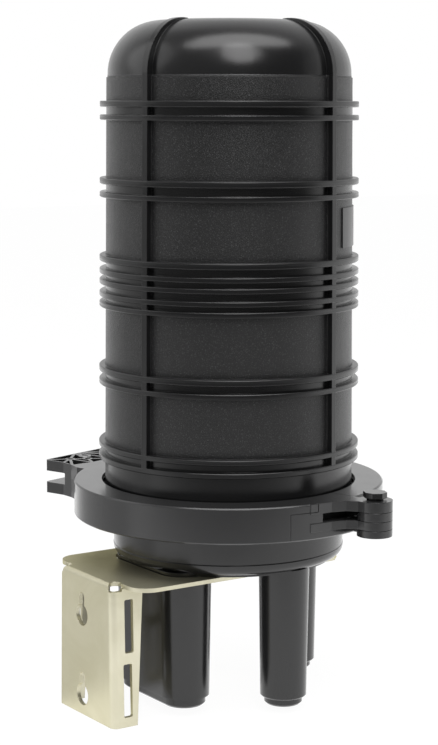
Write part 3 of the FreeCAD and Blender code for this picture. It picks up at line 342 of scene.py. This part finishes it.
def smooth_bands():
    """Heights where the dome wall is polished."""
    group, start, end = new_group(
        "Smooth bands", [("Height", "NodeSocketFloat", 0.0)], [("Smooth", "NodeSocketFloat")])
    total = None
    for middle, half in SMOOTH_BANDS:
        inside = math_node(group, "COMPARE", (start, "Height"), middle, half)
        total = inside if total is None else math_node(group, "MAXIMUM", total, inside)
    feed(group, end, "Smooth", total)


def outside_wall():
    """How far a point stands outside the drafted dome wall, from 0 on the wall to 1 on a rib."""
    group, start, end = new_group(
        "Outside wall",
        [("Vector", "NodeSocketVector", None), ("Wall", "NodeSocketFloat", 0.09),
         ("Top", "NodeSocketFloat", 0.4), ("Draft", "NodeSocketFloat", 0.0086)],
        [("Rib", "NodeSocketFloat")])
    parts = add(group, "ShaderNodeSeparateXYZ", {"Vector": (start, "Vector")})
    x, y, z = (parts, "X"), (parts, "Y"), (parts, "Z")
    squares = math_node(group, "MULTIPLY_ADD", y, y, math_node(group, "MULTIPLY", x, x))
    radius = math_node(group, "SQRT", squares)
    depth = math_node(group, "SUBTRACT", (start, "Top"), z)
    wall = math_node(group, "MULTIPLY_ADD", depth, (start, "Draft"), (start, "Wall"))
    beyond = math_node(group, "SUBTRACT", radius, wall)
    feed(group, end, "Rib", ramp(group, beyond, RIB_POLISH))


def dark_side(studio):
    """Dims what glossy parts see on the left, between the front and the back."""
    group, start, end = new_group(
        "Dark side", [("Vector", "NodeSocketVector", None), ("Depth", "NodeSocketFloat", 0.5)],
        [("Share", "NodeSocketFloat")])
    ahead, right = looking(studio)
    towards = reach_along(group, (start, "Vector"), -ahead)
    left = reach_along(group, (start, "Vector"), -right)
    turn = math_node(group, "ARCTAN2", left, towards)
    rise = ramp(group, turn, DARK_START)
    fall = ramp(group, turn, DARK_END, (1.0, 0.0))
    depth = math_node(group, "MULTIPLY", math_node(group, "MULTIPLY", rise, fall), (start, "Depth"))
    feed(group, end, "Share", math_node(group, "SUBTRACT", 1.0, depth))


# Finishes

def new_material(name, base, **surface):
    """A material with a Principled BSDF and plain values on its sockets."""
    material = bpy.data.materials.new(name)
    material.use_nodes = True
    tree = material.node_tree
    shader = tree.nodes["Principled BSDF"]
    shader.inputs["Base Color"].default_value = (*base, 1.0)
    for label, value in surface.items():
        shader.inputs[label.replace("_", " ")].default_value = value
    return material, tree, shader


def centred(tree):
    """Object coordinates measured from the closure axis."""
    place = add(tree, "ShaderNodeTexCoord")
    moved = add(tree, "ShaderNodeMapping", {"Vector": (place, "Object"),
                                            "Location": (-AXIS.x, -AXIS.y, 0.0)})
    return moved, 0


def rough_between(tree, mask, band):
    """Roughness that runs through a band while the mask runs from 0 to 1."""
    return ramp(tree, mask, (0.0, 1.0), band)


def bumpy(tree, shader, height, strength, distance, edge):
    """Fine relief over edges that are rounded by a small radius."""
    rounded = add(tree, "ShaderNodeBevel", {"Radius": edge}, samples=6)
    bump = add(tree, "ShaderNodeBump", {"Strength": strength, "Distance": distance, "Height": height,
                                        "Normal": (rounded, "Normal")})
    feed(tree, shader, "Normal", (bump, "Normal"))


def dome_plastic(sizes, colours):
    """Spark textured wall with painted glints, a polished crown, polished bands and polished ribs."""
    material, tree, shader = new_material("dome_plastic", colours.dome_black, IOR=1.5)
    place = centred(tree)
    level = (add(tree, "ShaderNodeSeparateXYZ", {"Vector": place}), "Z")
    step = DOME_HIGH.z - sizes.crown_step
    crown = ramp(tree, level, (step - STEP_BLEND, step + STEP_BLEND))
    outside = use_group(tree, "Outside wall", Vector=place, Wall=sizes.dome_wall_radius, Top=step,
                        Draft=sizes.dome_draft)
    height = math_node(tree, "SUBTRACT", level, DOME_LOW.z - sizes.flange_height)
    bands = use_group(tree, "Smooth bands", Height=height)
    polished = math_node(tree, "MAXIMUM", crown, (bands, "Smooth"))
    smooth = math_node(tree, "MAXIMUM", polished, (outside, "Rib"), clamp=True)
    textured = math_node(tree, "SUBTRACT", 1.0, smooth)
    spark = use_group(tree, "Spark texture", Vector=place, Grain=1500.0, Fleck_amount=0.8)
    # Painted glints: bright specks in the base colour of the textured wall stand in for glints of light
    painted_specks = math_node(tree, "MULTIPLY", (spark, "Fleck"), textured)
    colour = blend_colours(tree, painted_specks, colours.dome_black, colours.dome_painted_glint)
    feed(tree, shader, "Base Color", colour)
    gloss = (use_group(tree, "Moulding tone", Vector=place, Size=11.0), "Gloss")
    with_ribs = blend(tree, (outside, "Rib"), rough_between(tree, gloss, WALL_ROUGH),
                      rough_between(tree, gloss, RIB_ROUGH))
    with_crown = blend(tree, polished, with_ribs, rough_between(tree, gloss, CROWN_ROUGH))
    feed(tree, shader, "Roughness", with_crown)
    relief = math_node(tree, "MULTIPLY", (spark, "Height"), textured)
    bumpy(tree, shader, relief, strength=0.55, distance=0.0005, edge=sizes.edge_radius)
    return material


def satin_plastic(name, base, edge, band, grain, strength):
    """Smooth moulded plastic with a soft sheen and slow changes of gloss."""
    lighter = tuple(min(1.0, value * SPOT_GAIN + SPOT_LIFT) for value in base)
    material, tree, shader = new_material(name, base, IOR=1.5)
    place = centred(tree)
    tone = use_group(tree, "Moulding tone", Vector=place, Size=9.0)
    feed(tree, shader, "Base Color", blend_colours(tree, (tone, "Tone"), base, lighter))
    feed(tree, shader, "Roughness", rough_between(tree, (tone, "Gloss"), band))
    spark = use_group(tree, "Spark texture", Vector=place, Grain=grain, Fleck_amount=0.0)
    bumpy(tree, shader, (spark, "Height"), strength, distance=0.0002, edge=edge)
    return material


def clouded_metal(name, pale, dark, edge, band, cloud, strength, distance, **surface):
    """Sheet or turned metal with a cloudy coat over rolling lines."""
    material, tree, shader = new_material(name, pale, **surface)
    bloom = use_group(tree, "Zinc bloom", Vector=centred(tree), Cloud=cloud)
    feed(tree, shader, "Base Color", blend_colours(tree, (bloom, "Cloud"), pale, dark))
    feed(tree, shader, "Roughness", rough_between(tree, (bloom, "Cloud"), band))
    bumpy(tree, shader, (bloom, "Height"), strength, distance, edge)
    return material


def bracket_zinc(sizes, colours):
    return clouded_metal("bracket_zinc", colours.zinc_cream, colours.zinc_olive, sizes.sheet_edge,
                         BRACKET_ROUGH, cloud=18.0, strength=0.18, distance=0.00012,
                         Metallic=0.8, Specular_Tint=(*colours.zinc_edge, 1.0))


def plated_steel(name, base, edge, band):
    darker = tuple(value * STEEL_SHADE for value in base)
    return clouded_metal(name, base, darker, edge, band, cloud=60.0, strength=0.15, distance=0.0001,
                         Metallic=1.0)


def clear_plastic(colours):
    """Clear moulding with a faint wave in its faces."""
    material, tree, shader = new_material("clear_plastic", colours.cover_tone, IOR=1.49,
                                          Transmission_Weight=0.9)
    tone = use_group(tree, "Moulding tone", Vector=centred(tree), Size=16.0)
    feed(tree, shader, "Roughness", rough_between(tree, (tone, "Gloss"), COVER_ROUGH))
    bump = add(tree, "ShaderNodeBump", {"Strength": 0.1, "Distance": 0.0002, "Height": (tone, "Tone")})
    feed(tree, shader, "Normal", (bump, "Normal"))
    return material


def finish_nodes(names, material):
    """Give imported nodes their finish."""
    for name in names:
        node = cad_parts[name]
        if not node.material_slots:
            node.data.materials.append(material)
        for place in node.material_slots:
            place.material = material


# Modelling helpers

def start_clean():
    """Object mode with nothing selected, so that an operator acts only on what it makes."""
    if bpy.context.mode != "OBJECT":
        bpy.ops.object.mode_set(mode="OBJECT")
    bpy.ops.object.select_all(action="DESELECT")


def take(piece):
    """Select one piece alone and make it the active one."""
    start_clean()
    piece.select_set(True)
    bpy.context.view_layer.objects.active = piece


def pick_faces(test):
    """In edit mode, select the faces whose normal passes the test."""
    bpy.ops.mesh.select_all(action="DESELECT")
    bpy.ops.object.mode_set(mode="OBJECT")
    for face in bpy.context.object.data.polygons:
        face.select = test(face.normal)
    bpy.ops.object.mode_set(mode="EDIT")
    bpy.ops.mesh.select_mode(type="FACE")


def settle(piece):
    """Put the place of a piece into its mesh."""
    take(piece)
    bpy.ops.object.transform_apply(location=True, rotation=True, scale=True)


def combine(pieces, name):
    """Join pieces into the first of them, under a new name."""
    take(pieces[0])
    for piece in pieces:
        piece.select_set(True)
    bpy.ops.object.join()
    pieces[0].name = name
    pieces[0].data.name = name
    return pieces[0]


def screw_head(head_radius, head_height, seat, away):
    """A pan head with a socket. It stands on its seat and looks away from the shank."""
    start_clean()
    bpy.ops.mesh.primitive_cylinder_add(vertices=40, radius=head_radius, depth=head_height,
                                        location=(0, 0, seat + away * head_height / 2))
    head = bpy.context.object
    settle(head)
    bpy.ops.object.mode_set(mode="EDIT")
    pick_faces(lambda normal: normal.z * away > FACING)
    bpy.ops.mesh.inset(thickness=head_radius * SOCKET_RIM)
    bpy.ops.mesh.inset(thickness=head_radius * SOCKET_CHAMFER)
    bpy.ops.transform.resize(value=(SOCKET_TAPER, SOCKET_TAPER, 1.0))
    sink = (0, 0, -away * head_height * SOCKET_DEPTH)
    bpy.ops.mesh.extrude_region_move(TRANSFORM_OT_translate={"value": sink})
    bpy.ops.object.mode_set(mode="OBJECT")
    soften = head.modifiers.new("soften", "BEVEL")
    soften.width = head_height * HEAD_ROUNDING
    soften.segments = 3
    soften.limit_method = "ANGLE"
    bpy.context.view_layer.objects.active = head
    bpy.ops.object.modifier_apply(modifier="soften")
    return head


def screw_shank(radius, low, top, away):
    """The plain shank from low to top, drawn in at its tip."""
    start_clean()
    bpy.ops.mesh.primitive_cylinder_add(vertices=28, radius=radius, depth=top - low,
                                        location=(0, 0, (low + top) / 2))
    shank = bpy.context.object
    settle(shank)
    bpy.ops.object.mode_set(mode="EDIT")
    pick_faces(lambda normal: normal.z * away < -FACING)
    bpy.ops.mesh.extrude_region_move(TRANSFORM_OT_translate={"value": (0, 0, 0)})
    bpy.ops.transform.resize(value=(TIP_SIZE, TIP_SIZE, 1.0))
    bpy.ops.object.mode_set(mode="OBJECT")
    return shank


def shaft_thread(radius, depth, pitch, low, high):
    """A thread as one profile turned up round the shaft."""
    start_clean()
    bpy.ops.mesh.primitive_circle_add(vertices=3, radius=depth * THREAD_PROFILE, fill_type="NGON",
                                      location=(radius - depth * THREAD_SUNK, 0, low),
                                      rotation=(math.pi / 2, 0, 0))
    thread = bpy.context.object
    settle(thread)
    turn = thread.modifiers.new("thread", "SCREW")
    turn.axis = "Z"
    turn.screw_offset = pitch
    turn.iterations = max(1, int((high - low) / pitch))
    turn.steps = THREAD_STEPS
    turn.render_steps = THREAD_STEPS
    turn.use_smooth_shade = False
    bpy.ops.object.modifier_apply(modifier="thread")
    return thread


def screw_piece(name, radius, head_height, low, top, head_up, pitch, depth):
    """A screw that stands on the Z axis. The shank runs from low to top."""
    seat = top if head_up else low
    away = 1.0 if head_up else -1.0
    head = screw_head(radius + HEAD_OVERHANG, head_height, seat, away)
    shank = screw_shank(radius - depth * SHANK_INSIDE, low, top, away)
    thread_low, thread_high = low + pitch * THREAD_MARGIN[0], top - pitch * THREAD_MARGIN[1]
    thread = shaft_thread(radius, depth, pitch, thread_low, thread_high)
    piece = combine([head, shank, thread], name)
    take(piece)
    bpy.ops.object.shade_smooth_by_angle(angle=math.radians(35))
    return piece


def copies_at(piece, places, name):
    """Copies of a piece at each place, each with its own mesh, joined under one name."""
    made = []
    for spot in places:
        take(piece)
        bpy.ops.object.duplicate()
        copy = bpy.context.object
        copy.location = spot
        settle(copy)
        made.append(copy)
    bpy.data.objects.remove(piece, do_unlink=True)
    return combine(made, name)


def post_places(sizes):
    """The four screw posts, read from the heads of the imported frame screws."""
    low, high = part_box("frame_screws")
    head = sizes.small_screw_radius + HEAD_OVERHANG
    sides, fronts = (low.x + head, high.x - head), (low.y + head, high.y - head)
    return [Vector((x, y, 0)) for x in sides for y in fronts]


# Studio

def looking(studio):
    """Level direction that the camera looks along, and the one to its right."""
    turn = math.radians(studio.view_turn)
    ahead = Vector((-math.sin(turn), math.cos(turn), 0))
    return ahead, Vector((ahead.y, -ahead.x, 0))


def floor_material(studio):
    """White floor for the camera, with a trace of shadow. Glossy parts see it dim far in front."""
    material, tree, shader = new_material("floor_white", [FLOOR_TONE] * 3, Roughness=FLOOR_TONE)
    place = centred(tree)
    towards = reach_along(tree, place, -looking(studio)[0])
    dim = ramp(tree, towards, FLOOR_DIMS, (FLOOR_NEAR_GLOSS, studio.floor_gloss))
    side = use_group(tree, "Dark side", Vector=place, Depth=FLOOR_DARK)
    shaded = math_node(tree, "MULTIPLY", dim, (side, "Share"))
    rays = add(tree, "ShaderNodeLightPath")
    strength = blend(tree, (rays, "Is Camera Ray"), shaded, FLOOR_GLOW)
    glow = add(tree, "ShaderNodeEmission", {"Color": WHITE, "Strength": strength})
    seen = math_node(tree, "MAXIMUM", (rays, "Is Camera Ray"), (rays, "Is Glossy Ray"))
    shown = math_node(tree, "MAXIMUM", seen, (rays, "Is Transmission Ray"))
    share = math_node(tree, "MULTIPLY", shown, FLOOR_GLOW_SHARE)
    mixed = add(tree, "ShaderNodeMixShader", {0: share, 1: (shader, "BSDF"), 2: (glow, "Emission")})
    feed(tree, tree.nodes["Material Output"], "Surface", (mixed, "Shader"))
    return material


def set_floor(studio):
    """A white plane just under the lowest point."""
    start_clean()
    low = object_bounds()[0]
    bpy.ops.mesh.primitive_plane_add(size=FLOOR_SIZE, location=(0, 0, low.z - studio.floor_gap))
    floor = bpy.context.object
    floor.name = "studio_floor"
    floor.data.materials.append(floor_material(studio))
    settle(floor)
    floor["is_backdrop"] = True


def set_world(context, studio):
    """White for the camera, even light for matt parts, and a dimmer front for glossy parts."""
    world = bpy.data.worlds.new("studio_world")
    context.scene.world = world
    world.use_nodes = True
    tree = world.node_tree
    tree.nodes.clear()
    ahead, right = looking(studio)
    direction = (add(tree, "ShaderNodeTexCoord"), "Generated")
    front = ramp(tree, reach_along(tree, direction, right), RIGHT_BLEND,
                 (studio.front_gloss, studio.right_gloss))
    around = ramp(tree, reach_along(tree, direction, ahead), BACK_BLEND, (front, 1.0))
    side = use_group(tree, "Dark side", Vector=direction, Depth=WORLD_DARK)
    shaded = math_node(tree, "MULTIPLY", around, (side, "Share"))
    even = add(tree, "ShaderNodeBackground", {"Color": WHITE, "Strength": studio.world_light})
    gloss = add(tree, "ShaderNodeBackground", {"Color": WHITE, "Strength": shaded})
    white = add(tree, "ShaderNodeBackground", {"Color": WHITE, "Strength": 1.0})
    rays = add(tree, "ShaderNodeLightPath")
    shiny = add(tree, "ShaderNodeMixShader", {0: (rays, "Is Glossy Ray"), 1: (even, 0), 2: (gloss, 0)})
    seen = math_node(tree, "MAXIMUM", (rays, "Is Camera Ray"), (rays, "Is Transmission Ray"))
    final = add(tree, "ShaderNodeMixShader", {0: seen, 1: (shiny, 0), 2: (white, 0)})
    add(tree, "ShaderNodeOutputWorld", {"Surface": (final, 0)})


def softbox(studio, name, width, height, power, towards, right, up):
    """An oval lamp that faces the closure, placed towards the camera, to its right and up."""
    ahead, beside = looking(studio)
    level = CAD_BOX[0].z * (1 - AIM_LEVEL) + CAD_BOX[1].z * AIM_LEVEL
    target = Vector((AXIS.x, AXIS.y, level))
    place = target - ahead * towards + beside * right + Vector((0, 0, up))
    start_clean()
    bpy.ops.object.light_add(type="AREA", location=place)
    lamp = bpy.context.object
    lamp.name = name
    lamp.data.shape = "ELLIPSE"
    lamp.data.size = width
    lamp.data.size_y = height
    lamp.data.energy = power
    lamp.rotation_euler = (target - place).to_track_quat("-Z", "Y").to_euler()


def set_lamps(studio):
    """A wide softbox overhead, one in front and one at each side."""
    width, power = studio.key_width, studio.key_power
    softbox(studio, "overhead_softbox", width=width, height=width * 0.36, power=power,
            towards=0.45, right=0.10, up=1.38)
    softbox(studio, "front_softbox", width=width * 0.36, height=width * 0.52, power=power * 0.6,
            towards=1.03, right=0.20, up=1.03)
    softbox(studio, "left_softbox", width=1.5, height=1.5, power=power * 0.42,
            towards=0.1, right=-1.5, up=0.80)
    softbox(studio, "right_softbox", width=1.2, height=1.2, power=power * 0.06,
            towards=-0.1, right=1.6, up=0.35)


def set_camera(context, studio):
    """The camera, turned, pitched and leaning as the studio settings say."""
    ahead, right = looking(studio)
    place = Vector((AXIS.x, AXIS.y, 0)) - ahead * studio.camera_distance + right * studio.camera_side
    place.z = studio.camera_height
    start_clean()
    bpy.ops.object.camera_add(location=place)
    camera = bpy.context.object
    camera.name = "studio_camera"
    pitch = math.radians(studio.view_pitch)
    aim = ahead * math.cos(pitch) - Vector((0, 0, math.sin(pitch)))
    camera.rotation_euler = aim.to_track_quat("-Z", "Y").to_euler()
    camera.rotation_euler.rotate_axis("Z", math.radians(studio.view_roll))
    camera.data.sensor_width = SENSOR_WIDTH
    camera.data.lens = studio.lens
    camera.data.clip_end = VIEW_REACH
    context.scene.camera = camera


# Operators

class CLOSURE_OT_effects(Operator):
    """Build the node groups that the finishes and the studio share"""
    bl_idname = "closure.effects"
    bl_label = "Shared effects"

    def execute(self, context):
        spark_texture()
        moulding_tone()
        zinc_bloom()
        outside_wall()
        smooth_bands()
        dark_side(context.scene.closure_studio)
        return {"FINISHED"}


class CLOSURE_OT_housing(Operator):
    """Finish the dome, the base and the seal ring"""
    bl_idname = "closure.housing"
    bl_label = "Housing finish"

    def execute(self, context):
        sizes = context.scene.closure_sizes
        colours = context.scene.closure_colours
        finish_nodes(["dome"], dome_plastic(sizes, colours))
        base = satin_plastic("base_plastic", colours.base_black, sizes.edge_radius, BASE_ROUGH,
                             grain=1200.0, strength=0.06)
        finish_nodes(["base"], base)
        seal = satin_plastic("seal_rubber", colours.seal_black, sizes.edge_radius, SEAL_ROUGH,
                             grain=900.0, strength=0.2)
        finish_nodes(["seal_ring"], seal)
        return {"FINISHED"}


class CLOSURE_OT_clamp(Operator):
    """Finish the clamp halves, the lever and the pins"""
    bl_idname = "closure.clamp"
    bl_label = "Clamp finish"

    def execute(self, context):
        sizes = context.scene.closure_sizes
        colours = context.scene.closure_colours
        clamp = satin_plastic("clamp_plastic", colours.clamp_black, sizes.edge_radius, CLAMP_ROUGH,
                              grain=1000.0, strength=0.06)
        finish_nodes(["clamp_front", "clamp_rear", "latch_lever"], clamp)
        coat = satin_plastic("pin_coat", colours.pin_black, sizes.edge_radius, HINGE_PIN_ROUGH,
                             grain=1400.0, strength=0.05)
        finish_nodes(["hinge_pin"], coat)
        steel = plated_steel("pin_steel", colours.steel_grey, sizes.sheet_edge, LATCH_PIN_ROUGH)
        finish_nodes(["latch_pivot_pin", "latch_catch_pin"], steel)
        return {"FINISHED"}


class CLOSURE_OT_bracket(Operator):
    """Finish the wall bracket and its washers"""
    bl_idname = "closure.bracket"
    bl_label = "Bracket finish"

    def execute(self, context):
        sizes = context.scene.closure_sizes
        colours = context.scene.closure_colours
        finish_nodes(["mounting_bracket"], bracket_zinc(sizes, colours))
        steel = plated_steel("screw_steel", colours.steel_grey, sizes.sheet_edge, SCREW_ROUGH)
        finish_nodes(["bracket_washers"], steel)
        return {"FINISHED"}


class CLOSURE_OT_trays(Operator):
    """Finish the tray frame, the splice trays, the holders and the cover"""
    bl_idname = "closure.trays"
    bl_label = "Tray finish"

    def execute(self, context):
        sizes = context.scene.closure_sizes
        colours = context.scene.closure_colours
        steel = plated_steel("frame_steel", colours.steel_grey, sizes.sheet_edge, FRAME_ROUGH)
        finish_nodes(["tray_frame"], steel)
        tray = satin_plastic("tray_plastic", colours.tray_grey, sizes.edge_radius, TRAY_ROUGH,
                             grain=900.0, strength=0.1)
        finish_nodes(["splice_tray_%d" % index for index in TRAYS], tray)
        holder = satin_plastic("holder_rubber", colours.holder_grey, sizes.edge_radius, HOLDER_ROUGH,
                               grain=900.0, strength=0.2)
        finish_nodes(["splice_holder_%d" % index for index in TRAYS], holder)
        finish_nodes(["tray_cover"], clear_plastic(colours))
        return {"FINISHED"}


class CLOSURE_OT_bracket_screws(Operator):
    """Model the threaded screws that hold the bracket under the base"""
    bl_idname = "closure.bracket_screws"
    bl_label = "Bracket screws"

    def execute(self, context):
        sizes = context.scene.closure_sizes
        low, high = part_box("bracket_screws")
        head_height = 0.0036
        screw = screw_piece("bracket_screw", sizes.screw_radius, head_height,
                            low=low.z + head_height, top=high.z, head_up=False,
                            pitch=sizes.thread_pitch, depth=sizes.thread_depth)
        piece = copies_at(screw, post_places(sizes), "bracket_screw_set")
        piece.data.materials.append(bpy.data.materials["screw_steel"])
        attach(piece, "closure")
        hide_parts("bracket_screws")
        return {"FINISHED"}


class CLOSURE_OT_frame_screws(Operator):
    """Model the threaded screws that hold the tray frame on the posts"""
    bl_idname = "closure.frame_screws"
    bl_label = "Tray frame screws"

    def execute(self, context):
        sizes = context.scene.closure_sizes
        low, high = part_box("frame_screws")
        head_height = 0.0024
        screw = screw_piece("frame_screw", sizes.small_screw_radius, head_height, low=low.z,
                            top=high.z - head_height, head_up=True,
                            pitch=sizes.thread_pitch * SMALL_THREAD,
                            depth=sizes.thread_depth * SMALL_THREAD)
        piece = copies_at(screw, post_places(sizes), "frame_screw_set")
        piece.data.materials.append(bpy.data.materials["screw_steel"])
        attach(piece, "closure")
        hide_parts("frame_screws")
        return {"FINISHED"}


class CLOSURE_OT_stage(Operator):
    """Set the floor, the world, the lamps and the camera"""
    bl_idname = "closure.stage"
    bl_label = "Studio"

    def execute(self, context):
        studio = context.scene.closure_studio
        set_floor(studio)
        set_world(context, studio)
        set_lamps(studio)
        set_camera(context, studio)
        context.scene.view_settings.view_transform = "Standard"
        return {"FINISHED"}


# Panel

STEPS = (CLOSURE_OT_effects, CLOSURE_OT_housing, CLOSURE_OT_clamp, CLOSURE_OT_bracket, CLOSURE_OT_trays,
         CLOSURE_OT_bracket_screws, CLOSURE_OT_frame_screws, CLOSURE_OT_stage)


class CLOSURE_PT_panel(Panel):
    """Lists the closure's steps with its sizes, its colours and its studio"""
    bl_idname = "CLOSURE_PT_panel"
    bl_label = "Dome splice closure"
    bl_space_type = "VIEW_3D"
    bl_region_type = "UI"
    bl_category = "Closure"

    def draw(self, context):
        scene = context.scene
        for step in STEPS:
            self.layout.operator(step.bl_idname)
        for group in (scene.closure_sizes, scene.closure_colours, scene.closure_studio):
            for name in group.__annotations__:
                self.layout.prop(group, name)


CLASSES = (ClosureSizes, ClosureColours, StudioSettings, *STEPS, CLOSURE_PT_panel)


def register():
    for item in CLASSES:
        bpy.utils.register_class(item)
    bpy.types.Scene.closure_sizes = PointerProperty(type=ClosureSizes)
    bpy.types.Scene.closure_colours = PointerProperty(type=ClosureColours)
    bpy.types.Scene.closure_studio = PointerProperty(type=StudioSettings)


def unregister():
    del bpy.types.Scene.closure_studio
    del bpy.types.Scene.closure_colours
    del bpy.types.Scene.closure_sizes
    for item in reversed(CLASSES):
        bpy.utils.unregister_class(item)


def main():
    register()
    for step in STEPS:
        area, name = step.bl_idname.split(".")
        getattr(getattr(bpy.ops, area), name)()


if __name__ == "__main__":
    main()
